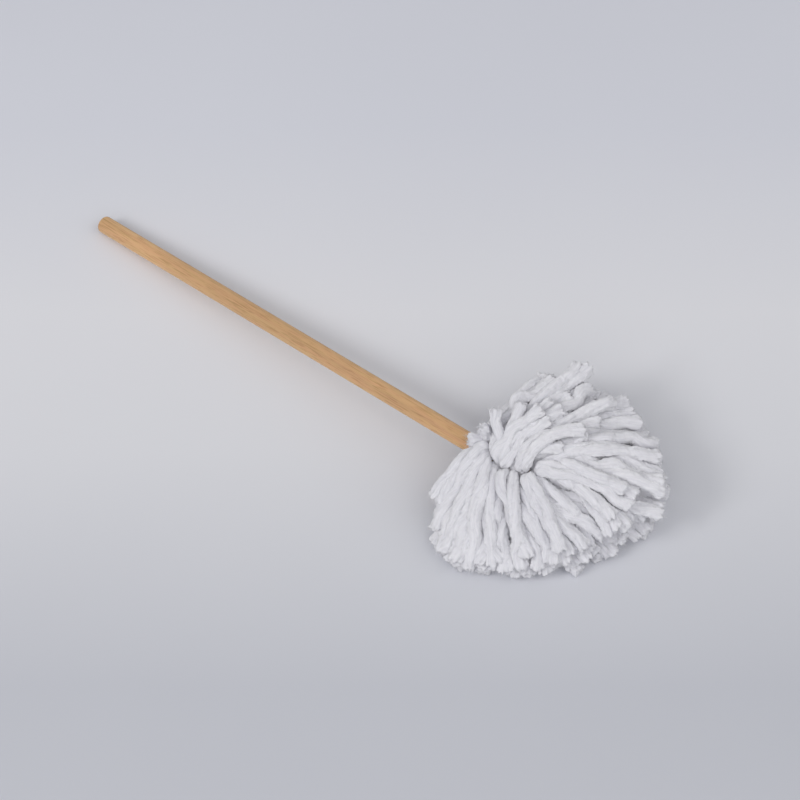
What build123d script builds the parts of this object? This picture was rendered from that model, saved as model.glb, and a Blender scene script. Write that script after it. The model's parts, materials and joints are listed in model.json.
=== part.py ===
from build123d import *

# A short-handled string mop, lying on its side: a wooden dowel with four rows of white
# yarn wired round its last 50 mm.
#
# Frame, in millimetres: +X runs along the handle towards the yarn head, +Z is up from
# the surface that the mop lies on, and the origin is on that surface, under the middle
# of the whole mop. The free end of the dowel rests on the surface, and the yarn head
# lifts the other end. The left side of the mop is its +Y side.
#
# A row of yarn is a ring of cut strands laid along the dowel and wired at their middle.
# Both ends of each strand bend outwards, so every row has a bound ring of yarn, a wire
# round it, and a fan of tufts, each a group of strand ends. The head has been brushed
# over to the left: there the tufts stand high, and on the right they hang to the floor.

import os
from math import asin, cos, degrees, radians, sin

# Whole mop
TOTAL_LENGTH = 470.5
HANDLE_OFFSET = -13.0  # of the handle from the middle of the mop, across it

# Handle
HANDLE_DIAMETER = 12.7
HANDLE_LENGTH = 406.4
END_ROUNDING = 2.4
TIP_CHAMFER = 1.5
TIP_HEIGHT = 43.2  # of the handle's axis above the surface, at the tip in the yarn
GROOVE_DEPTH = 0.8
GROOVE_WIDTH = 8.0

# Rows of yarn, counted from the back one
ROWS = 4
ROW_PITCH = 13.0
LAST_ROW_TO_TIP = 7.0
BOUND_RADIUS = 9.4
BOUND_EDGE = 0.6
WAIST_RADIUS = 7.6
WAIST_WIDTH = 5.6

# Binding wire
WIRE_DIAMETER = 1.0
WIRE_TURNS = 4
WIRE_PITCH = 1.06
TAIL_LENGTH = 6.0
TAIL_TWIST_PITCH = 3.5

# Tufts: each side of each row has one on every level, from the crown down to the floor
FIRST_ROOT_ANGLE = 22.0  # from straight up, round the handle
ROOT_ANGLE_STEP = 27.0
ROOT_OFFSET = 3.0  # along the handle, from the middle of the row
ROOT_RADIUS = 9.5
HEAD_CENTRE_TO_TIP = 12.0  # the plan's centre, behind the tip of the handle
HEAD_SHIFT = 13.0  # of the plan's centre, to the left of the handle
HEAD_REACH = 77.0
SECTOR_ANGLE = 31.0
ROOT_LEAVES = 24.0  # how far a tuft keeps the direction that it leaves the row in
TIP_STRAIGHT = 24.0  # how far it keeps its last direction
ROOT_SECTION = (2.2, 1.8)  # half width and half thickness
TIP_SECTION = (10.2, 3.4)
STATIONS = 6
# Each level on the left and on the right: the height of the tips, their share of the
# reach, and how steeply the tufts run down there, in degrees
LEVELS = {
    "crown": ((72.5, 0.73, 28.0), (52.5, 0.85, 47.0)),
    "upper": ((59.5, 0.87, 26.0), (34.0, 1.03, 34.0)),
    "shoulder": ((45.0, 0.96, 20.0), (28.0, 0.98, 34.0)),
    "middle": ((34.5, 1.01, 14.0), (18.2, 0.98, 17.0)),
    "lower": ((23.5, 0.98, 12.0), (11.5, 0.97, 13.0)),
    "floor": ((9.7, 0.93, 5.0), (4.3, 0.91, 2.0)),
}

radius = HANDLE_DIAMETER / 2
wire_radius = WIRE_DIAMETER / 2
slope = asin((TIP_HEIGHT - radius) / HANDLE_LENGTH)
free_end = Vector(-TOTAL_LENGTH / 2, HANDLE_OFFSET, radius * cos(slope))
along = Vector(cos(slope), 0, sin(slope))
handle_axis = Axis(free_end, along)
first_row = HANDLE_LENGTH - LAST_ROW_TO_TIP - ROW_PITCH * (ROWS - 1)
row_places = [first_row + ROW_PITCH * row for row in range(ROWS)]


def on_axis(distance):
    """The point of the handle's axis at a distance from its free end."""
    return free_end + along * distance


def outwards(angle):
    """The direction square to the handle, turned from straight up towards the left."""
    up = Vector(-sin(slope), 0, cos(slope))
    return up * cos(radians(angle)) + Vector(0, 1, 0) * sin(radians(angle))


def profile_plane(distance):
    """The upright plane through the handle's axis, with its origin on that axis."""
    return Plane(origin=on_axis(distance), x_dir=along, z_dir=(0, -1, 0))


def save(builder, name):
    """Labels a finished piece and writes its STEP file."""
    builder.part.label = name
    export_step(builder.part, f"parts/{name}.step")


def make_handle():
    """The dowel: a rounded free end, a shallow groove for each row, a chamfered tip."""
    with BuildPart() as handle:
        with BuildSketch(profile_plane(0)):
            with BuildLine():
                Line((0, 0), (0, radius - END_ROUNDING))
                RadiusArc((0, radius - END_ROUNDING), (END_ROUNDING, radius), END_ROUNDING)
                Polyline(
                    (END_ROUNDING, radius),
                    (HANDLE_LENGTH - TIP_CHAMFER, radius),
                    (HANDLE_LENGTH, radius - TIP_CHAMFER),
                    (HANDLE_LENGTH, 0),
                    (0, 0),
                )
            make_face()
            with Locations([(place, radius) for place in row_places]):
                Rectangle(GROOVE_WIDTH, 2 * GROOVE_DEPTH, mode=Mode.SUBTRACT)
        revolve(axis=handle_axis)
    save(handle, "handle")


def make_bound_yarn(row):
    """The middle of a row's strands: a ring squeezed into its groove by the wire."""
    groove_bottom = radius - GROOVE_DEPTH
    half = GROOVE_WIDTH / 2
    waist = WAIST_WIDTH / 2
    with BuildPart() as bound:
        with BuildSketch(profile_plane(row_places[row])):
            with BuildLine():
                Polyline(
                    (-half, groove_bottom),
                    (-half, BOUND_RADIUS - BOUND_EDGE),
                    (-half + BOUND_EDGE, BOUND_RADIUS),
                    (-waist, WAIST_RADIUS),
                    (waist, WAIST_RADIUS),
                    (half - BOUND_EDGE, BOUND_RADIUS),
                    (half, BOUND_RADIUS - BOUND_EDGE),
                    (half, groove_bottom),
                    (-half, groove_bottom),
                )
            make_face()
        revolve(axis=handle_axis)
    save(bound, f"bound_yarn_{row + 1}")


def make_binding_wire(row):
    """The wire round a row: close turns in its waist, and a twisted tail underneath."""
    coil_radius = WAIST_RADIUS + wire_radius + 0.02
    coil_length = WIRE_TURNS * WIRE_PITCH
    tail_radius = wire_radius + 0.03
    down = outwards(180)
    tail_axis = Axis(on_axis(row_places[row]) + down * coil_radius, down)
    with BuildPart() as wire:
        with BuildLine():
            turns = Helix(
                WIRE_PITCH,
                coil_length,
                coil_radius,
                center=on_axis(row_places[row] - coil_length / 2),
                direction=along,
            )
        with BuildSketch(Plane(origin=turns @ 0, z_dir=turns % 0)):
            Circle(wire_radius)
        sweep(path=turns, is_frenet=True)
        with BuildLine():
            twist = Helix(
                TAIL_TWIST_PITCH,
                TAIL_LENGTH,
                tail_radius,
                center=tail_axis.position,
                direction=down,
            )
        with BuildSketch(Plane(origin=twist @ 0, z_dir=twist % 0)):
            Circle(wire_radius)
        strand = sweep(path=twist, is_frenet=True, mode=Mode.PRIVATE)
        for half_turn in (0, 180):
            add(strand.rotate(tail_axis, half_turn))
    save(wire, f"binding_wire_{row + 1}")


def tuft_line(row, side, level):
    """The line down the middle of a tuft, from its row to its tips."""
    number = list(LEVELS).index(level)
    staggered = (number + (side < 0)) % 2
    sector = radians(SECTOR_ANGLE * (ROWS - 1 - row + 0.25 + staggered / 2))
    leftness = (1 + side * sin(sector)) / 2
    tip_height, share, steepness = [
        right + (left - right) * leftness for left, right in zip(*LEVELS[level])
    ]
    leaves = outwards(side * (FIRST_ROOT_ANGLE + ROOT_ANGLE_STEP * number))
    root_place = row_places[row] + (-ROOT_OFFSET if staggered else ROOT_OFFSET)
    root = on_axis(root_place) + leaves * ROOT_RADIUS
    centre = on_axis(HANDLE_LENGTH - HEAD_CENTRE_TO_TIP)
    reach = HEAD_REACH * share
    tip = Vector(
        centre.X + reach * cos(sector),
        centre.Y + HEAD_SHIFT + side * reach * sin(sector),
        tip_height,
    )
    flat = Vector(tip.X - root.X, tip.Y - root.Y, 0).normalized()
    last = flat * cos(radians(steepness)) - Vector(0, 0, sin(radians(steepness)))
    return Bezier(root, root + leaves * ROOT_LEAVES, tip - last * TIP_STRAIGHT, tip)


def make_tuft(row, side, level):
    """A group of strand ends: narrow at its row, and fanned out flat at its tips."""
    line = tuft_line(row, side, level)
    with BuildPart() as tuft:
        for station in range(STATIONS):
            share = station / (STATIONS - 1)
            direction = line % share
            sideways = Vector(0, 0, 1).cross(direction).normalized()
            half_width, half_thickness = [
                at_root + (at_tip - at_root) * share
                for at_root, at_tip in zip(ROOT_SECTION, TIP_SECTION)
            ]
            section = Plane(origin=line @ share, x_dir=sideways, z_dir=direction)
            with BuildSketch(section):
                Ellipse(half_width, half_thickness)
        loft()
    side_name = "left" if side > 0 else "right"
    save(tuft, f"tuft_{level}_{side_name}_{row + 1}")


os.makedirs("parts", exist_ok=True)
make_handle()
for row in range(ROWS):
    make_bound_yarn(row)
    make_binding_wire(row)
    for side in (1, -1):
        for level in LEVELS:
            make_tuft(row, side, level)
print("handle slope", round(degrees(slope), 2), "degrees")
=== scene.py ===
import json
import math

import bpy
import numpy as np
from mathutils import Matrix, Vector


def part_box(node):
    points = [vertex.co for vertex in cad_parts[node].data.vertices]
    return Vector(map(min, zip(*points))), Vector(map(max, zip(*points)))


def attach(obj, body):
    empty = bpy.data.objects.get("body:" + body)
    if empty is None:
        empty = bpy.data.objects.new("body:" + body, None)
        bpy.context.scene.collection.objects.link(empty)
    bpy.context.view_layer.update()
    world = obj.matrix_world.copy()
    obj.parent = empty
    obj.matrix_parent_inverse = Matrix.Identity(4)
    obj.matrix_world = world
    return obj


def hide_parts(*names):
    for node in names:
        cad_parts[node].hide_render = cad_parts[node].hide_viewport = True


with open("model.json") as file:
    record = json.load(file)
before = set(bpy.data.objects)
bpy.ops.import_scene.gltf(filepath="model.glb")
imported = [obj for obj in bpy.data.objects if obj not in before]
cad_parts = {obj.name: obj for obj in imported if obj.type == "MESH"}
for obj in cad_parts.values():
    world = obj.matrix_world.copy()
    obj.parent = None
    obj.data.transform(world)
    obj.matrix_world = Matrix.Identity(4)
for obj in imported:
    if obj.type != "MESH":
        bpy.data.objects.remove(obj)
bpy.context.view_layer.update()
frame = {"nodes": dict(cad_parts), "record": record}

# The looks of a short-handled string mop that lies on its side. The dowel and the
# binding wires are the CAD's own nodes with better materials. Each tuft of the CAD is
# replaced by a few strands of five-ply yarn, which follow the tuft's line and then
# settle against each other, the handle and the floor. Lengths are in millimetres until
# a mesh is made, and +X runs along the handle towards the yarn head.

METRES = 0.001
SEED = 7

# The tufts' driving dimensions, as the CAD has them. Only the levels differ, as the strands
# on the right here hang down to the floor: for each level on the left and on the right,
# the height of the tips, their share of the reach, and how steeply they run down there
ROWS = 4
FIRST_ROOT_ANGLE = 22.0
ROOT_ANGLE_STEP = 27.0
ROOT_OFFSET = 3.0
HEAD_CENTRE_TO_TIP = 12.0
HEAD_SHIFT = 13.0
HEAD_REACH = 77.0
SECTOR_ANGLE = 31.0
ROOT_LEAVES = 24.0
TIP_STRAIGHT = 24.0
LAST_ROW_TO_TIP = 7.0
LEVELS = {
    "crown": ((70.0, 0.80, 20.0), (14.0, 1.07, 60.0)),
    "upper": ((57.0, 0.93, 20.0), (12.0, 1.06, 56.0)),
    "shoulder": ((45.0, 1.00, 18.0), (10.0, 1.03, 50.0)),
    "middle": ((34.5, 1.02, 12.0), (8.0, 0.98, 40.0)),
    "lower": ((21.0, 1.02, 8.0), (6.0, 0.93, 30.0)),
    "floor": ((6.0, 1.00, 3.0), (4.0, 0.88, 15.0)),
}

# Yarn
STRAND_RADIUS = 3.6
ROOT_STRAND_RADIUS = 2.6
FULL_THICKNESS_AT = 8.0  # from the root
ROOT_RADIUS = 7.4  # from the handle's axis, inside the bound ring
BLOOM = 0.16
BLOOMS_FROM = 30.0  # from the root
BLOOM_LENGTH = 35.0
STRANDS = {1: 6, -1: 5}  # of a tuft on the left and on the right
STRAND_SPACING = (4.9, 6.4)  # at the crown and at the floor
STRAND_POINTS = 17
PLIES = 5
SIDES_PER_PLY = 6
PLY_RELIEF = 0.10  # depth of the grooves between the plies, as a share of the radius
FELT = 0.075  # unevenness of a strand's surface, as a share of its radius
# How firm the strands on the left and right are where they meet, as a share of their
# radius: the softer ones on the right lie matted together
CONTACT = {1: 0.68, -1: 0.56}
RING_SPACING = 1.1
TWIST_PITCH = 150.0
FUZZ_PER_MM = 6.5
END_FIBRES = 75
CUT_RINGS = (0.7, 0.4, 0.15)  # how far from the centre the rings of a cut end lie
UNRULY_SHARE = 0.12
UNRULY_WANDER = 2.4  # of an unruly strand, where another's is 1
WANDER = ((3.5,), (4.5,), (2.5,))  # of the points that shape a strand's line
WANDER_LIMIT = 1.6  # in standard deviations
ROOT_SPREAD = 3.0  # of the strands of a tuft, along the handle
LENGTH_SPREAD = 2.5
UPPER_KEEPS = 0.22  # how much more of its line a strand keeps one level below the crown
LINE_SAMPLES = 60
KINK = 0.9
# How much of their line the left strands on top keep in each row: the shortest, longest
CROWN_LENGTHS = ((0.62, 0.85), (0.50, 0.72), (0.50, 0.75), (0.65, 1.0))
SETTLE_STEPS = 180
NEIGHBOUR_STEPS = 8  # between two searches for strands that are near each other
NEIGHBOUR_MARGIN = 3.0
SHAPE_PULL = 0.012  # in one step, back to the line that a strand was given
STRAY_PULL = 0.1
BEND_KEPT = 0.85
STIFFNESS = 0.12
PUSH = 0.3  # in one step, as a share of the overlap of two strands
LONGEST_PUSH = 1.5
LENGTH_PASSES = 3
TRIM_SPREAD = 1.8  # how unevenly the tips are cut
FLOOR_GAP = 0.2  # below the lowest fibres
DROOP = 0.10  # in one step, at the tip of a strand on the right
PARTING = (-25.0, 45.0, 34.0, 10.0)  # how far right of the top each row's parting lies
# The rows' left tufts, which the CAD spreads evenly, are combed towards the back
COMBED_LEFT = ((0.0, -4.0), (31.0, 38.0), (62.0, 72.0), (93.0, 98.0), (124.0, 119.0))
# The trimmed head seen from above, about the handle's tip: how far it reaches towards the
# handle, at the corner of its near side, along that side, and along its far side
BACK_REACH = 56.0
CORNER_REACH = 70.0
NEAR_REACH = 51.0
FAR_REACH = 89.0
# The outline's corners, each a bearing from +X to +Y and a reach. They are rounded from an
# outline that was measured on the photo. The reach changes evenly between them, so a stretch
# with one reach is an arc.
TRIMMED = (
    (-180.0, BACK_REACH),
    (-150.0, BACK_REACH),
    (-108.0, CORNER_REACH),
    (-75.0, NEAR_REACH),
    (-28.0, NEAR_REACH),
    (12.0, 0.76 * FAR_REACH),
    (25.0, FAR_REACH),
    (88.0, FAR_REACH),
    (122.0, 0.92 * FAR_REACH),
    (136.0, 1.09 * BACK_REACH),
    (180.0, BACK_REACH),
)
CURL = 11.0  # how far the crown's left strands first lean back along the handle
# How much further back the strands on top of each row are combed, in degrees
COMBED_TOP = (0.0, 6.0, 22.0, 6.0)
# How high the left tips of each row stand, as a share of their height
ROW_HEIGHTS = (0.85, 1.0, 1.0, 1.0)
# Single strands that stick out of the head: by row, side, level and place in the tuft, where
# the tip is, and how far the strand keeps the direction that it leaves its row in. The tips
# were read off the photo, put in the frame at guessed heights, and rounded.
STRAYS = {
    (0, -1, 0, 0): ((115.0, -12.0, 61.0), 8.0),
    (0, -1, 0, 1): ((112.0, -19.0, 52.0), 6.0),
    (0, -1, 1, 0): ((109.0, -45.0, 25.0), 8.0),
    (1, 1, 0, 0): ((119.0, -1.0, 71.0), 10.0),
    (1, 1, 0, 1): ((129.0, 13.0, 71.0), 14.0),
    (1, 1, 1, 0): ((137.0, 69.0, 60.0), 22.0),
    (1, 1, 1, 1): ((142.0, 74.0, 58.0), 22.0),
    (3, -1, 0, 2): ((198.0, -10.0, 33.0), 20.0),
    (3, -1, 1, 3): ((207.5, -11.5, 27.0), 22.0),
    (3, -1, 1, 1): ((211.0, 0.0, 30.0), 20.0),
    (3, 1, 0, 4): ((231.0, 21.0, 10.0), 14.0),
    (3, 1, 0, 5): ((227.0, 14.0, 9.0), 12.0),
}


def unit(vectors):
    """Vectors made one long."""
    return vectors / np.linalg.norm(vectors, axis=-1, keepdims=True)


# ---------------------------------------------------------------- the frame's handle
grip = next(m for m in frame["record"]["mounts"] if m["name"] == "handle_grip")
ALONG = -np.array(grip["axis"])
HANDLE_RADIUS = grip["dims"]["r_mm"]
UP = unit(np.array([-ALONG[2], 0.0, ALONG[0]]))
LEFT = np.array([0.0, 1.0, 0.0])


def row_centre(row):
    """The middle of a row, on the handle's axis."""
    low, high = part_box(f"bound_yarn_{row + 1}")
    return (np.array(low) + np.array(high)) / 2 / METRES


HANDLE_TIP = row_centre(ROWS - 1) + ALONG * LAST_ROW_TO_TIP


# ---------------------------------------------------------------- camera and light
def add_camera():
    """Looks down at the mop from the side that its yarn hangs to the floor on.

    The angles, distance, target and lens were fitted to the handle in the photo.
    """
    azimuth, elevation = math.radians(39.07), math.radians(55.0)
    distance, target = 1.5035, Vector((0.0326, 0.0051, 0.0))
    back = Vector(
        (
            math.sin(azimuth) * math.cos(elevation),
            -math.cos(azimuth) * math.cos(elevation),
            math.sin(elevation),
        )
    )
    camera_data = bpy.data.cameras.new("camera")
    camera_data.lens = 96.75
    camera_data.sensor_width = 36.0
    camera_data.clip_end = 50.0
    camera = bpy.data.objects.new("camera", camera_data)
    bpy.context.scene.collection.objects.link(camera)
    camera.location = target + back * distance
    camera.rotation_euler = back.to_track_quat("Z", "Y").to_euler()
    bpy.context.scene.camera = camera


def add_softbox(name, bearing, elevation, distance, size, power, colour):
    """A square softbox that faces the mop; its bearing is turned from +X to +Y."""
    light_data = bpy.data.lights.new(name, "AREA")
    light_data.shape = "SQUARE"
    light_data.size = size
    light_data.energy = power
    light_data.color = colour
    light = bpy.data.objects.new(name, light_data)
    bpy.context.scene.collection.objects.link(light)
    bearing, elevation = math.radians(bearing), math.radians(elevation)
    facing = Vector(
        (
            math.cos(bearing) * math.cos(elevation),
            math.sin(bearing) * math.cos(elevation),
            math.sin(elevation),
        )
    )
    light.location = Vector((0.08, 0.0, 0.0)) + facing * distance
    light.rotation_euler = facing.to_track_quat("Z", "Y").to_euler()


def add_world():
    """An even, slightly cool studio fill."""
    world = bpy.data.worlds.new("studio")
    bpy.context.scene.world = world
    world.use_nodes = True
    background = world.node_tree.nodes["Background"]
    background.inputs["Color"].default_value = (0.95, 0.96, 1.0, 1.0)
    background.inputs["Strength"].default_value = 0.28


# ---------------------------------------------------------------- materials
def new_material(name):
    """An empty node material with its output and shader, and a way to add nodes."""
    material = bpy.data.materials.new(name)
    material.use_nodes = True
    tree = material.node_tree
    shader = tree.nodes["Principled BSDF"]

    def add(kind, inputs=(), **settings):
        node = tree.nodes.new(kind)
        for key, value in settings.items():
            setattr(node, key, value)
        for key, value in dict(inputs).items():
            if isinstance(value, bpy.types.NodeSocket):
                tree.links.new(value, node.inputs[key])
            else:
                node.inputs[key].default_value = value
        return node

    return material, tree, shader, add


def ramp(add, factor, stops):
    """A colour ramp with the given stops of (place, colour)."""
    node = add("ShaderNodeValToRGB", {"Fac": factor})
    elements = node.color_ramp.elements
    while len(elements) < len(stops):
        elements.new(0.5)
    for element, (place, colour) in zip(elements, stops):
        element.position = place
        element.color = (*colour, 1.0)
    return node.outputs["Color"]


def mix(add, blend, factor, first, second):
    """One colour mixed over another."""
    node = add("ShaderNodeMix", data_type="RGBA", blend_type=blend)
    tree = node.id_data
    for socket, value in ((0, factor), (6, first), (7, second)):
        if isinstance(value, bpy.types.NodeSocket):
            tree.links.new(value, node.inputs[socket])
        elif socket == 0:
            node.inputs[socket].default_value = value
        else:
            node.inputs[socket].default_value = (*value, 1.0)
    return node.outputs[2]


def yarn_material():
    """Soft white cotton: fibres along each ply, painted cool shade in their hollows and a faint warm
    cast.
    """
    material, tree, shader, add = new_material("cotton_yarn")
    fibre = add("ShaderNodeAttribute", attribute_name="fibre").outputs["Vector"]
    place = add("ShaderNodeTexCoord").outputs["Object"]
    coarse_space = add(
        "ShaderNodeMapping", {"Vector": fibre, "Scale": (1.3, 1.3, 0.09)}
    ).outputs["Vector"]
    coarse = add(
        "ShaderNodeTexNoise", {"Vector": coarse_space, "Scale": 1.0, "Detail": 3.0}
    ).outputs["Fac"]
    fine_space = add(
        "ShaderNodeMapping", {"Vector": fibre, "Scale": (5.5, 5.5, 0.5)}
    ).outputs["Vector"]
    fine = add(
        "ShaderNodeTexNoise", {"Vector": fine_space, "Scale": 1.0, "Detail": 4.0, "Roughness": 0.7}
    ).outputs["Fac"]
    clouds = add(
        "ShaderNodeTexNoise", {"Vector": place, "Scale": 22.0, "Detail": 3.0}
    ).outputs["Fac"]
    base = ramp(add, clouds, ((0.32, (0.93, 0.925, 0.952)), (0.7, (0.957, 0.952, 0.972))))
    # Painted shade: the broad and fine fibre lines are darker and cooler where the bump below runs
    # low, in its hollows
    broad_line_shade = ramp(add, coarse, ((0.32, (0.90, 0.90, 0.915)), (0.58, (1.0, 1.0, 1.0))))
    base = mix(add, "MULTIPLY", 0.8, base, broad_line_shade)
    fine_line_shade = ramp(add, fine, ((0.3, (0.90, 0.90, 0.92)), (0.62, (1.0, 1.0, 1.0))))
    base = mix(add, "MULTIPLY", 0.6, base, fine_line_shade)
    tree.links.new(base, shader.inputs["Base Color"])
    both = add("ShaderNodeMath", {0: coarse, 1: fine}, operation="ADD").outputs["Value"]
    bump = add("ShaderNodeBump", {"Height": both, "Strength": 0.4, "Distance": 0.0006})
    tree.links.new(bump.outputs["Normal"], shader.inputs["Normal"])
    shader.inputs["Roughness"].default_value = 0.95
    shader.inputs["Specular IOR Level"].default_value = 0.1
    shader.inputs["Diffuse Roughness"].default_value = 1.0
    shader.inputs["Sheen Weight"].default_value = 0.4
    shader.inputs["Sheen Roughness"].default_value = 0.5
    return material


def wood_material():
    """Bare beech: long soft grain and short dark flecks."""
    material, tree, shader, add = new_material("beech")
    place = add("ShaderNodeTexCoord").outputs["Object"]
    slope = math.atan2(ALONG[2], ALONG[0])
    level = add(
        "ShaderNodeMapping", {"Vector": place, "Rotation": (0.0, slope, 0.0)}
    ).outputs["Vector"]
    long_grain = add(
        "ShaderNodeMapping", {"Vector": level, "Scale": (9.0, 330.0, 330.0)}
    ).outputs["Vector"]
    bands = add(
        "ShaderNodeTexNoise", {"Vector": long_grain, "Scale": 1.0, "Detail": 4.0, "Roughness": 0.6}
    ).outputs["Fac"]
    fleck_space = add(
        "ShaderNodeMapping", {"Vector": level, "Scale": (75.0, 1600.0, 1600.0)}
    ).outputs["Vector"]
    flecks = add(
        "ShaderNodeTexNoise", {"Vector": fleck_space, "Scale": 1.0, "Detail": 2.0}
    ).outputs["Fac"]
    broad = add(
        "ShaderNodeTexNoise", {"Vector": level, "Scale": 14.0, "Detail": 2.0}
    ).outputs["Fac"]
    hue_space = add(
        "ShaderNodeMapping", {"Vector": level, "Scale": (45.0, 420.0, 420.0)}
    ).outputs["Vector"]
    hues = add(
        "ShaderNodeTexNoise", {"Vector": hue_space, "Scale": 1.0, "Detail": 2.0}
    ).outputs["Fac"]
    colour = ramp(
        add,
        bands,
        ((0.28, (0.69, 0.45, 0.255)), (0.5, (0.75, 0.495, 0.28)), (0.75, (0.79, 0.535, 0.31))),
    )
    fleck_tint = ramp(add, flecks, ((0.36, (0.74, 0.66, 0.58)), (0.47, (1.0, 1.0, 1.0))))
    colour = mix(add, "MULTIPLY", 0.75, colour, fleck_tint)
    hue_tint = ramp(add, hues, ((0.38, (1.01, 0.98, 0.96)), (0.62, (0.99, 1.01, 0.93))))
    colour = mix(add, "MULTIPLY", 1.0, colour, hue_tint)
    broad_tint = ramp(add, broad, ((0.3, (0.88, 0.86, 0.83)), (0.7, (1.05, 1.04, 1.02))))
    colour = mix(add, "MULTIPLY", 1.0, colour, broad_tint)
    tree.links.new(colour, shader.inputs["Base Color"])
    roughness = add(
        "ShaderNodeMapRange", {"Value": bands, "To Min": 0.62, "To Max": 0.48}
    ).outputs["Result"]
    tree.links.new(roughness, shader.inputs["Roughness"])
    bump = add(
        "ShaderNodeBump", {"Height": flecks, "Strength": 0.25, "Distance": 0.0003}
    )
    tree.links.new(bump.outputs["Normal"], shader.inputs["Normal"])
    shader.inputs["Specular IOR Level"].default_value = 0.35
    shader.inputs["Diffuse Roughness"].default_value = 1.0
    return material


def wire_material():
    """Galvanised steel wire, dulled in patches."""
    material, tree, shader, add = new_material("galvanised_wire")
    place = add("ShaderNodeTexCoord").outputs["Object"]
    patches = add(
        "ShaderNodeTexNoise", {"Vector": place, "Scale": 420.0, "Detail": 4.0}
    ).outputs["Fac"]
    colour = ramp(add, patches, ((0.35, (0.42, 0.43, 0.45)), (0.65, (0.66, 0.67, 0.69))))
    tree.links.new(colour, shader.inputs["Base Color"])
    roughness = add(
        "ShaderNodeMapRange", {"Value": patches, "To Min": 0.5, "To Max": 0.32}
    ).outputs["Result"]
    tree.links.new(roughness, shader.inputs["Roughness"])
    shader.inputs["Metallic"].default_value = 1.0
    return material


def floor_material():
    """Seamless pale paper, faintly mottled, with painted light and shade: a little brighter just
    beyond the mop, and a darker foreground towards the camera.
    """
    material, tree, shader, add = new_material("studio_paper")
    place = add("ShaderNodeTexCoord").outputs["Object"]
    mottle = add(
        "ShaderNodeTexNoise", {"Vector": place, "Scale": 3.0, "Detail": 3.0}
    ).outputs["Fac"]
    colour = ramp(add, mottle, ((0.3, (0.865, 0.870, 0.905)), (0.7, (0.885, 0.890, 0.922))))
    # Painted light and shade: the paper is brightened just beyond the mop and darkened towards the
    # camera, as light falling off
    towards_front = add(
        "ShaderNodeVectorMath", {0: place, 1: (0.63, -0.776, 0.0)}, operation="DOT_PRODUCT"
    ).outputs["Value"]
    share = add(
        "ShaderNodeMapRange", {"Value": towards_front, "From Min": -0.3, "From Max": 0.3}
    ).outputs["Result"]
    painted_light_falloff = ramp(
        add,
        share,
        (
            (0.1, (0.97, 0.98, 1.02)),
            (0.4, (1.04, 1.035, 1.035)),
            (0.6, (0.97, 0.97, 0.975)),
            (0.9, (0.75, 0.76, 0.79)),
        ),
    )
    tree.links.new(mix(add, "MULTIPLY", 1.0, colour, painted_light_falloff), shader.inputs["Base Color"])
    shader.inputs["Roughness"].default_value = 0.85
    shader.inputs["Specular IOR Level"].default_value = 0.2
    return material


# ---------------------------------------------------------------- strand lines
def bezier(controls, shares):
    """Points of a cubic Bezier curve."""
    t = np.asarray(shares)[:, None]
    a, b, c, d = controls
    return (1 - t) ** 3 * a + 3 * (1 - t) ** 2 * t * b + 3 * (1 - t) * t**2 * c + t**3 * d


def leaving_place(row, angle, root_shift):
    """Where a strand leaves its row's ring, and in which direction."""
    leaves = UP * math.cos(angle) + LEFT * math.sin(angle)
    return row_centre(row) + ALONG * root_shift + leaves * ROOT_RADIUS, leaves


def trimmed_reach(bearing):
    """How far the trimmed head reaches at a bearing in radians."""
    return np.interp(np.degrees(bearing), *np.array(TRIMMED).T)


def trim(line, rng):
    """Cuts a strand off where it leaves the head's trimmed outline."""
    from_centre = line - (HANDLE_TIP - ALONG * HEAD_CENTRE_TO_TIP)
    allowed = trimmed_reach(np.arctan2(from_centre[:, 1], from_centre[:, 0]))
    past = np.hypot(from_centre[:, 0], from_centre[:, 1]) - allowed
    past += rng.normal(scale=TRIM_SPREAD)
    if past[-1] <= 0:
        return line
    last = int(np.max(np.nonzero(past <= 0)))
    share = past[last] / (past[last] - past[last + 1])
    return np.vstack([line[: last + 1], line[last] + (line[last + 1] - line[last]) * share])


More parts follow.
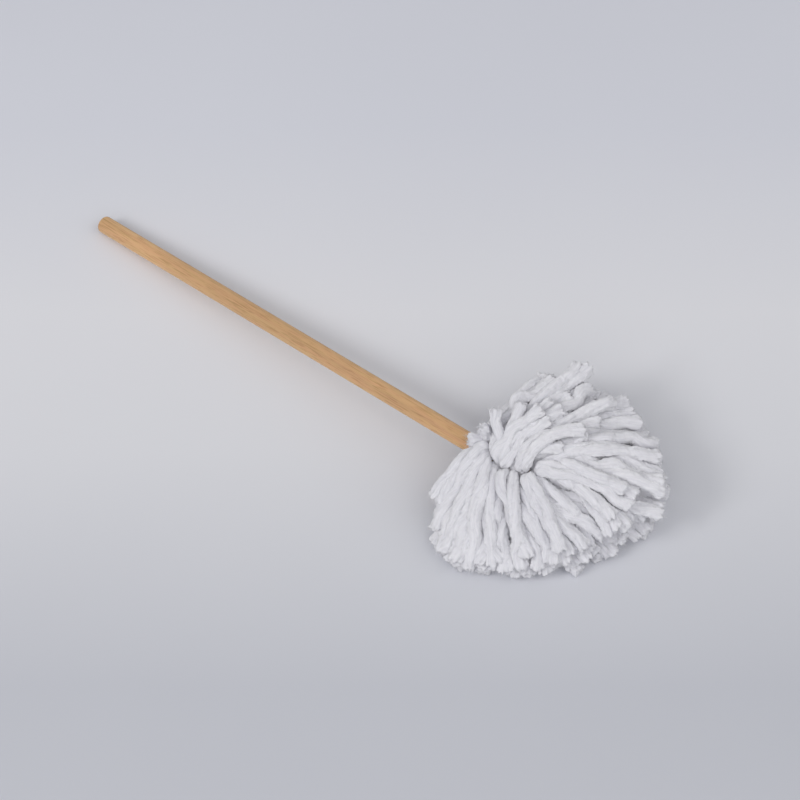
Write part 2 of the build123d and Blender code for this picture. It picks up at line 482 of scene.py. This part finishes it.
def tuft_strands(row, side, number, rng):
    """The middle lines of a tuft's strands, about the CAD's own line for the tuft."""
    staggered = (number + (side < 0)) % 2
    sector = SECTOR_ANGLE * (ROWS - 1 - row + 0.25 + staggered / 2)
    leftness = (1 + side * math.sin(math.radians(sector))) / 2
    on_left, on_right = list(LEVELS.values())[number]
    height, share, steepness = [r + (l - r) * leftness for l, r in zip(on_left, on_right)]
    if side > 0:
        height *= ROW_HEIGHTS[row]
    angle = side * (FIRST_ROOT_ANGLE + ROOT_ANGLE_STEP * number) - PARTING[row]
    root_shift = -ROOT_OFFSET if staggered else ROOT_OFFSET
    if side > 0:
        sector = np.interp(sector, *np.array(COMBED_LEFT).T)
        if number < 2:
            sector += COMBED_TOP[row]
    centre = HANDLE_TIP - ALONG * HEAD_CENTRE_TO_TIP
    sector = math.radians(sector)
    towards = np.array([math.cos(sector), side * math.sin(sector)])
    bearing = np.array([0.0, HEAD_SHIFT]) + towards * HEAD_REACH
    bearing = math.atan2(bearing[1], bearing[0])
    reach = trimmed_reach(bearing) * share
    tip = np.array(
        [
            centre[0] + reach * math.cos(bearing),
            centre[1] + reach * math.sin(bearing),
            height,
        ]
    )
    middle_root, _ = leaving_place(row, math.radians(angle), root_shift)
    flat = unit((tip - middle_root) * np.array([1.0, 1.0, 0.0]))
    steep = math.radians(steepness)
    last = flat * math.cos(steep) - np.array([0.0, 0.0, math.sin(steep)])
    sideways = np.array([-flat[1], flat[0], 0.0])
    lines, stray = [], []
    strands = STRANDS[side]
    spacing = np.interp(number, (0, len(LEVELS) - 1), STRAND_SPACING)
    for strand in range(strands):
        place = strand - (strands - 1) / 2
        turned = angle - place * ROOT_ANGLE_STEP / strands
        shift = root_shift + rng.uniform(-ROOT_SPREAD, ROOT_SPREAD)
        root, leaves = leaving_place(row, math.radians(turned), shift)
        unruly = 1.0 if rng.uniform() > UNRULY_SHARE else UNRULY_WANDER
        wander = np.clip(rng.normal(size=(3, 3)), -WANDER_LIMIT, WANDER_LIMIT)
        wander *= np.array(WANDER) * unruly
        stretch = -abs(rng.normal(scale=LENGTH_SPREAD))
        aside = sideways * place * spacing * (6 / strands) ** 0.5
        shaped = [
            root,
            root + leaves * ROOT_LEAVES * 0.8 + aside * 0.5 + wander[0],
            tip - last * TIP_STRAIGHT + aside + wander[1],
            tip + aside + wander[2] + last * stretch,
        ]
        if side > 0 and number == 0:
            shaped[1] = shaped[1] - ALONG * CURL
        length = 1.0
        if side > 0 and number < 2:
            length = min(1.0, rng.uniform(*CROWN_LENGTHS[row]) + UPPER_KEEPS * number)
        if (row, side, number, strand) in STRAYS:
            stray_tip, keeps = STRAYS[row, side, number, strand]
            rises, length = root + leaves * keeps, 1.0
            shaped = [root, rises, rises * 0.4 + np.array(stray_tip) * 0.6, stray_tip]
        line = bezier(shaped, np.linspace(0, length, LINE_SAMPLES))
        lines.append(evenly(line, STRAND_POINTS))
        stray.append((row, side, number, strand) in STRAYS)
    return lines, stray


def evenly(points, count):
    """Points the same distance apart along a line."""
    steps = np.linalg.norm(np.diff(points, axis=0), axis=1)
    travelled = np.concatenate([[0], np.cumsum(steps)])
    even = np.linspace(0, travelled[-1], count)
    return np.stack([np.interp(even, travelled, points[:, k]) for k in range(3)], 1)


def thickness_at(distance):
    """A strand's radius at a distance from its root: it fluffs up towards its end."""
    share = np.clip(distance / FULL_THICKNESS_AT, 0, 1)
    bloom = np.clip((distance - BLOOMS_FROM) / BLOOM_LENGTH, 0, 1)
    full = STRAND_RADIUS * (1 + BLOOM * bloom)
    return ROOT_STRAND_RADIUS + (full - ROOT_STRAND_RADIUS) * share**0.8


def settle(lines, stray, steps):
    """Lets all the strands push each other apart, sag a little and come to rest."""
    points = np.array(lines)
    stray = np.array(stray)[:, None, None]
    count, length = points.shape[:2]
    wanted = points.copy()
    spacing = np.linalg.norm(np.diff(points, axis=1), axis=2)
    travelled = np.concatenate([np.zeros((count, 1)), np.cumsum(spacing, axis=1)], axis=1)
    radii = thickness_at(travelled)
    bend = points[:, :-2] - 2 * points[:, 1:-1] + points[:, 2:]
    strand_of = np.repeat(np.arange(count), length)
    order = np.tile(np.arange(length), count)
    firmness = np.where(points[:, -1:, 1] > HANDLE_TIP[1] + HEAD_SHIFT, CONTACT[1], CONTACT[-1])
    firm_radii = (radii * firmness).reshape(-1)
    along_share = np.linspace(0, 1, length)[None, :, None]
    rightness = np.where(points[:, -1:, 1:2] < HANDLE_TIP[1] + HEAD_SHIFT, 1.0, 0.25)
    rightness = np.where(stray, 0.0, rightness)
    pull = np.where(stray, STRAY_PULL, SHAPE_PULL * (1 - 0.7 * along_share))
    held = np.zeros((count, length, 1))
    held[:, 2:] = 1.0
    for step in range(steps):
        points[:, :, 2:] -= DROOP * held * along_share**2 * rightness
        points += (wanted - points) * pull * held
        now = points[:, :-2] - 2 * points[:, 1:-1] + points[:, 2:]
        error = (bend * BEND_KEPT - now) * STIFFNESS
        points[:, 1:-1] -= error * held[:, 1:-1]
        points[:, :-2] += error * 0.5 * held[:, :-2]
        points[:, 2:] += error * 0.5 * held[:, 2:]
        flat = points.reshape(-1, 3)
        if step % NEIGHBOUR_STEPS == 0:
            squares = (flat**2).sum(1)
            apart = squares[:, None] + squares[None] - 2 * flat @ flat.T
            near = np.argwhere(apart < (2 * STRAND_RADIUS + NEIGHBOUR_MARGIN) ** 2)
            first, second = near[near[:, 0] < near[:, 1]].T
            other = strand_of[first] != strand_of[second]
            other &= (order[first] > 1) | (order[second] > 1)
            first, second = first[other], second[other]
        offset = flat[first] - flat[second]
        distance = np.linalg.norm(offset, axis=1) + 1e-6
        overlap = np.clip(firm_radii[first] + firm_radii[second] - distance, 0, None)
        push = offset * (overlap / distance * PUSH)[:, None]
        moved = np.stack(
            [
                np.bincount(first, push[:, k], len(flat)) - np.bincount(second, push[:, k], len(flat))
                for k in range(3)
            ],
            1,
        )
        size = np.linalg.norm(moved, axis=1, keepdims=True)
        moved *= np.minimum(1.0, LONGEST_PUSH / (size + 1e-9))
        points += moved.reshape(points.shape) * held
        for _ in range(LENGTH_PASSES):
            for start in (0, 1):
                a, b = points[:, start:-1:2], points[:, start + 1 :: 2]
                gap = b - a
                long = np.linalg.norm(gap, axis=2, keepdims=True)
                fix = gap * (1 - spacing[:, start::2, None] / long) * 0.5
                free_a, free_b = held[:, start:-1:2], held[:, start + 1 :: 2]
                points[:, start:-1:2] += fix * free_a * (2 - free_b)
                points[:, start + 1 :: 2] -= fix * free_b * (2 - free_a)
        points[:, :, 2] = np.where(
            (held[:, :, 0] > 0) & (points[:, :, 2] < radii), radii, points[:, :, 2]
        )
        keep_off_handle(points, radii, held)
    return points


def keep_off_handle(points, radii, held):
    """Pushes points out of the dowel and of the bound rings."""
    from_tip = points - HANDLE_TIP
    along = from_tip @ ALONG
    across = from_tip - along[..., None] * ALONG
    distance = np.linalg.norm(across, axis=2)
    wanted = HANDLE_RADIUS + 1.0 + radii
    inside = (along < 0) & (distance < wanted) & (held[:, :, 0] > 0)
    scale = np.where(inside, wanted / np.maximum(distance, 1e-6), 1.0)
    points += across * (scale - 1)[..., None]


def smooth_line(points, spacing):
    """A Catmull-Rom curve through softened points, evenly divided."""
    soft = points.copy()
    for _ in range(2):
        soft[1:-1] = soft[1:-1] * 0.5 + (soft[:-2] + soft[2:]) * 0.25
    ends = np.vstack([2 * soft[0] - soft[1], soft, 2 * soft[-1] - soft[-2]])
    t = np.linspace(0, 1, 8, endpoint=False)[:, None]
    pieces = []
    for a, b, c, d in zip(ends[:-3], ends[1:-2], ends[2:-1], ends[3:]):
        pieces.append(
            0.5 * (2 * b + (c - a) * t + (2 * a - 5 * b + 4 * c - d) * t**2
                   + (3 * b - a - 3 * c + d) * t**3)
        )
    fine = np.vstack(pieces + [soft[-1:]])
    steps = np.linalg.norm(np.diff(fine, axis=0), axis=1)
    travelled = np.concatenate([[0], np.cumsum(steps)])
    even = np.linspace(0, travelled[-1], int(travelled[-1] / spacing) + 2)
    return np.stack([np.interp(even, travelled, fine[:, k]) for k in range(3)], 1), even


# ---------------------------------------------------------------- yarn meshes
class MeshParts:
    """Vertices, faces and the fibre coordinates of a piece, gathered part by part."""

    def __init__(self):
        self.vertices, self.faces, self.fibres, self.count = [], [], [], 0

    def add(self, vertices, faces, fibres):
        """Adds a part; faces is a list of index arrays, one row for each face."""
        self.vertices.append(vertices)
        self.fibres.append(fibres)
        self.faces += [f + self.count for f in faces]
        self.count += len(vertices)

    def make(self, name, material):
        """The finished Blender object, in metres, with its lowest fibres flat on the floor."""
        mesh = bpy.data.meshes.new(name)
        vertices = np.vstack(self.vertices)
        depth = np.clip(1 + FLOOR_GAP - vertices[:, 2], 0, None)
        vertices[:, 2] = np.where(depth > 0, FLOOR_GAP + np.exp(-depth), vertices[:, 2])
        corners = np.concatenate([f.ravel() for f in self.faces])
        sizes = np.concatenate([np.full(len(f), f.shape[1]) for f in self.faces])
        mesh.vertices.add(self.count)
        mesh.vertices.foreach_set("co", (vertices * METRES).ravel())
        mesh.loops.add(len(corners))
        mesh.loops.foreach_set("vertex_index", corners.astype(np.int32))
        mesh.polygons.add(len(sizes))
        starts = np.concatenate([[0], np.cumsum(sizes)[:-1]])
        mesh.polygons.foreach_set("loop_start", starts.astype(np.int32))
        mesh.update(calc_edges=True)
        mesh.polygons.foreach_set("use_smooth", np.ones(len(sizes), bool))
        fibre = mesh.attributes.new("fibre", "FLOAT_VECTOR", "POINT")
        fibre.data.foreach_set("vector", np.vstack(self.fibres).ravel())
        mesh.materials.append(material)
        mesh.validate()
        piece = bpy.data.objects.new(name, mesh)
        bpy.context.scene.collection.objects.link(piece)
        return piece


def carried_frames(centres):
    """Tangents and two normals along a line, turned as little as possible."""
    tangents = unit(np.gradient(centres, axis=0))
    start = np.cross(tangents[0], [0.31, 0.52, 0.79])
    normals = [unit(start)]
    for tangent in tangents[1:]:
        turned = normals[-1] - tangent * (normals[-1] @ tangent)
        normals.append(unit(turned))
    normals = np.array(normals)
    return tangents, normals, np.cross(tangents, normals)


def drift(rng, rings, columns, wavelength):
    """Smooth noise along a line, one column for each side or ply."""
    knots = max(4, int(rings / wavelength) + 2)
    values = rng.normal(size=(knots, columns))
    at = np.linspace(0, knots - 1.001, rings)
    low = at.astype(int)
    share = (at - low)[:, None]
    share = share * share * (3 - 2 * share)
    return values[low] * (1 - share) + values[low + 1] * share


def cut_ring(edge, centre, tangent, share, rng):
    """A ring of the rough face of a cut end, between its edge and its centre."""
    tufted = rng.normal(scale=0.35, size=(len(edge), 1)) + 0.5 * (1 - share)
    return centre + (edge - centre) * share + tufted * tangent


def add_strand(parts, line, radius_of, rng, frayed=True):
    """A soft strand: shallow plies in a slow twist, which open at the cut end."""
    centres, travelled = smooth_line(line, RING_SPACING)
    total, rings = travelled[-1], len(centres)
    if frayed:
        kinks = drift(rng, rings, 3, 11) * np.clip(travelled / 20, 0, 1)[:, None]
        centres = centres + kinks * KINK
    sides = PLIES * SIDES_PER_PLY
    tangents, normals, others = carried_frames(centres)
    to_end = total - travelled
    open_up = np.exp(-to_end / 4.0) if frayed else np.zeros(rings)
    radius = radius_of(travelled) * (1 + 0.05 * drift(rng, rings, 1, 8)[:, 0] + 0.2 * open_up)
    pitch = TWIST_PITCH * rng.uniform(0.6, 1.5) * rng.choice([1, 1, 1, -1])
    turn = rng.uniform(0, 2 * np.pi) + 2 * np.pi * travelled / pitch
    angle = np.linspace(0, 2 * np.pi, sides, endpoint=False)
    lobes = np.abs(np.cos(angle * PLIES / 2)) ** 0.7
    plumpness = np.repeat(drift(rng, rings, PLIES, 10), SIDES_PER_PLY, axis=1)
    relief = (PLY_RELIEF + 0.3 * open_up)[:, None] * (lobes - 0.6) + 0.04 * plumpness
    streaks = 0.045 * drift(rng, rings, sides, 9) + 0.03 * drift(rng, rings, sides, 3)
    felt = FELT * rng.normal(size=(rings, sides))
    radii = radius[:, None] * (1 + relief + streaks + felt)
    if frayed:
        radii[-2:] *= np.array([[0.97], [0.86]])
    about = angle[None, :] + turn[:, None]
    ring = (
        np.cos(about)[..., None] * normals[:, None] + np.sin(about)[..., None] * others[:, None]
    )
    vertices = centres[:, None] + ring * radii[..., None]
    ragged = open_up[:, None, None] * rng.normal(size=(1, sides, 1)) * 0.7
    vertices = vertices + ragged * tangents[:, None]
    if frayed:
        cut = [cut_ring(vertices[-1], centres[-1], tangents[-1], share, rng) for share in CUT_RINGS]
        vertices = np.concatenate([vertices, np.array(cut)])
        travelled = np.concatenate([travelled, total + np.arange(1, len(cut) + 1) * 0.5])
        rings += len(cut)
    index = np.arange(rings * sides).reshape(rings, sides)
    after = np.roll(index, -1, axis=1)
    quads = np.stack([index[:-1], after[:-1], after[1:], index[1:]], -1).reshape(-1, 4)
    seed = rng.uniform(0, 100)
    fibres = np.zeros((rings, sides, 3))
    fibres[..., 0] = np.cos(angle) * STRAND_RADIUS + seed * 13.7
    fibres[..., 1] = np.sin(angle) * STRAND_RADIUS + seed * 5.3
    fibres[..., 2] = travelled[:, None]
    parts.add(vertices.reshape(-1, 3), [quads, index[:1, ::-1], index[-1:]], fibres.reshape(-1, 3))
    if frayed:
        add_end_fibres(parts, centres[-1], tangents[-1], radius[-1], rng, seed)
    add_fuzz(parts, centres, tangents, normals, others, radius, rng)


def add_hairs(parts, starts, ways, bends, lengths, thickness, seed):
    """Fine fibres, each a three-sided thread that bends one way and ends in a point."""
    side = unit(np.cross(ways, bends) + 1e-6)
    other = np.cross(ways, side)
    angle = np.arange(3) * 2 * np.pi / 3
    ring = (
        np.cos(angle)[None, :, None] * side[:, None] + np.sin(angle)[None, :, None] * other[:, None]
    )
    rows = []
    for share, width in ((0.0, 1.0), (0.55, 0.8), (1.0, 0.0)):
        reach = (share * lengths)[:, None]
        centre = starts + ways * reach + bends * reach**2 * 0.12
        rows.append(centre[:, None] + ring * thickness * width)
    vertices = np.concatenate([rows[0], rows[1], rows[2][:, :1]], axis=1)
    hairs = len(starts)
    index = np.arange(hairs * 7).reshape(hairs, 7)
    low, high, tip = index[:, :3], index[:, 3:6], index[:, 6:]
    quads = np.stack([low, np.roll(low, -1, 1), np.roll(high, -1, 1), high], -1).reshape(-1, 4)
    ends = np.stack([high, np.roll(high, -1, 1), np.repeat(tip, 3, 1)], -1).reshape(-1, 3)
    fibres = np.full((hairs * 7, 3), seed)
    parts.add(vertices.reshape(-1, 3), [quads, ends, low[:, ::-1]], fibres)


def add_fuzz(parts, centres, tangents, normals, others, radius, rng):
    """Loose fibres that stand off a strand's side."""
    count = int(len(centres) * RING_SPACING * FUZZ_PER_MM)
    where = rng.integers(3, len(centres), count)
    turn = rng.uniform(0, 2 * np.pi, count)[:, None]
    out = np.cos(turn) * normals[where] + np.sin(turn) * others[where]
    round_about = np.cross(tangents[where], out)
    starts = centres[where] + out * radius[where, None] * 0.9
    ways = unit(
        out * rng.uniform(0.1, 0.5, (count, 1))
        + tangents[where] * rng.uniform(-0.3, 1.0, (count, 1))
        + round_about * rng.normal(scale=0.5, size=(count, 1))
    )
    bends = unit(rng.normal(size=(count, 3)))
    lengths = rng.uniform(1.2, 3.0, count) * rng.choice([1.0, 1.0, 1.6], count)
    add_hairs(parts, starts, ways, bends, lengths, 0.08, rng.uniform(0, 99))


def add_end_fibres(parts, end, tangent, radius, rng, seed):
    """The brush of fibres that a cut strand ends in."""
    spread = rng.normal(size=(END_FIBRES, 3))
    spread -= (spread @ tangent)[:, None] * tangent
    spread = unit(spread)
    out = rng.uniform(0.0, 1.0, (END_FIBRES, 1)) ** 0.5
    starts = end + spread * out * radius * 0.75 - tangent * rng.uniform(0.5, 2.0, (END_FIBRES, 1))
    lean = rng.normal(scale=0.16, size=(END_FIBRES, 3))
    ways = unit(tangent + spread * out * 0.45 + lean)
    bends = unit(rng.normal(size=(END_FIBRES, 3)))
    lengths = rng.uniform(1.5, 4.4, END_FIBRES)
    add_hairs(parts, starts, ways, bends, lengths, 0.1, seed)


def make_tufts(material):
    """A few strands of yarn for each tuft of the CAD."""
    rng = np.random.default_rng(SEED)
    names, lines, stray, firsts = [], [], [], [0]
    for row in range(ROWS):
        for side, side_name in ((1, "left"), (-1, "right")):
            for number, level in enumerate(LEVELS):
                tuft_lines, tuft_stray = tuft_strands(row, side, number, rng)
                lines += tuft_lines
                stray += tuft_stray
                names.append(f"{level}_{side_name}_{row + 1}")
                firsts.append(len(lines))
    lines = settle(lines, stray, SETTLE_STEPS)
    for number, name in enumerate(names):
        parts = MeshParts()
        for line in lines[firsts[number] : firsts[number + 1]]:
            add_strand(parts, trim(np.array(line), rng), thickness_at, rng)
        piece = parts.make(f"yarn_{name}", material)
        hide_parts(f"tuft_{name}")
        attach(piece, "root")


def make_bound_yarn(material):
    """The squeezed middles of each row's strands, side by side under the wire."""
    rng = np.random.default_rng(SEED + 1)
    strands = sum(STRANDS.values()) * len(LEVELS) // 2  # each has two ends
    half = 4.6
    for row in range(ROWS):
        parts = MeshParts()
        centre = row_centre(row)
        for strand in range(strands):
            angle = 2 * math.pi * (strand + rng.uniform(-0.2, 0.2)) / strands
            out = UP * math.cos(angle) + LEFT * math.sin(angle)
            places = np.linspace(-half, half, 9)
            lift = 6.55 + 1.35 * (np.abs(places) / half) ** 1.5
            line = centre + places[:, None] * ALONG + lift[:, None] * out

            def radius_of(travelled):
                from_middle = np.abs(travelled - travelled[-1] / 2) / half
                return 1.0 + 0.6 * from_middle**1.5

            add_strand(parts, line, radius_of, rng, frayed=False)
        piece = parts.make(f"yarn_bound_{row + 1}", material)
        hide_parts(f"bound_yarn_{row + 1}")
        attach(piece, "root")


def give_material(node, material):
    """Puts a finished material on a CAD node that stays."""
    mesh = frame["nodes"][node].data
    mesh.materials.clear()
    mesh.materials.append(material)


def add_floor():
    """The plain pale floor that the mop lies on."""
    mesh = bpy.data.meshes.new("floor")
    half = 4.0
    corners = [(-half, -half, 0), (half, -half, 0), (half, half, 0), (-half, half, 0)]
    mesh.from_pydata(corners, [], [(0, 1, 2, 3)])
    mesh.materials.append(floor_material())
    floor = bpy.data.objects.new("floor", mesh)
    bpy.context.scene.collection.objects.link(floor)


add_camera()
add_world()
WARM, COOL = (1.0, 0.99, 0.98), (0.985, 0.99, 1.0)
add_softbox("left_softbox", 249.0, 40.0, distance=3.0, size=0.9, power=22.0, colour=WARM)
add_softbox("right_softbox", 20.0, 45.0, distance=3.0, size=2.4, power=13.5, colour=WARM)
add_softbox("front_fill", 309.0, 55.0, distance=3.5, size=4.0, power=43.5, colour=COOL)
add_floor()
bpy.context.scene.view_settings.view_transform = "Standard"

give_material("handle", wood_material())
wire = wire_material()
for row in range(ROWS):
    give_material(f"binding_wire_{row + 1}", wire)
yarn = yarn_material()
make_bound_yarn(yarn)
make_tufts(yarn)
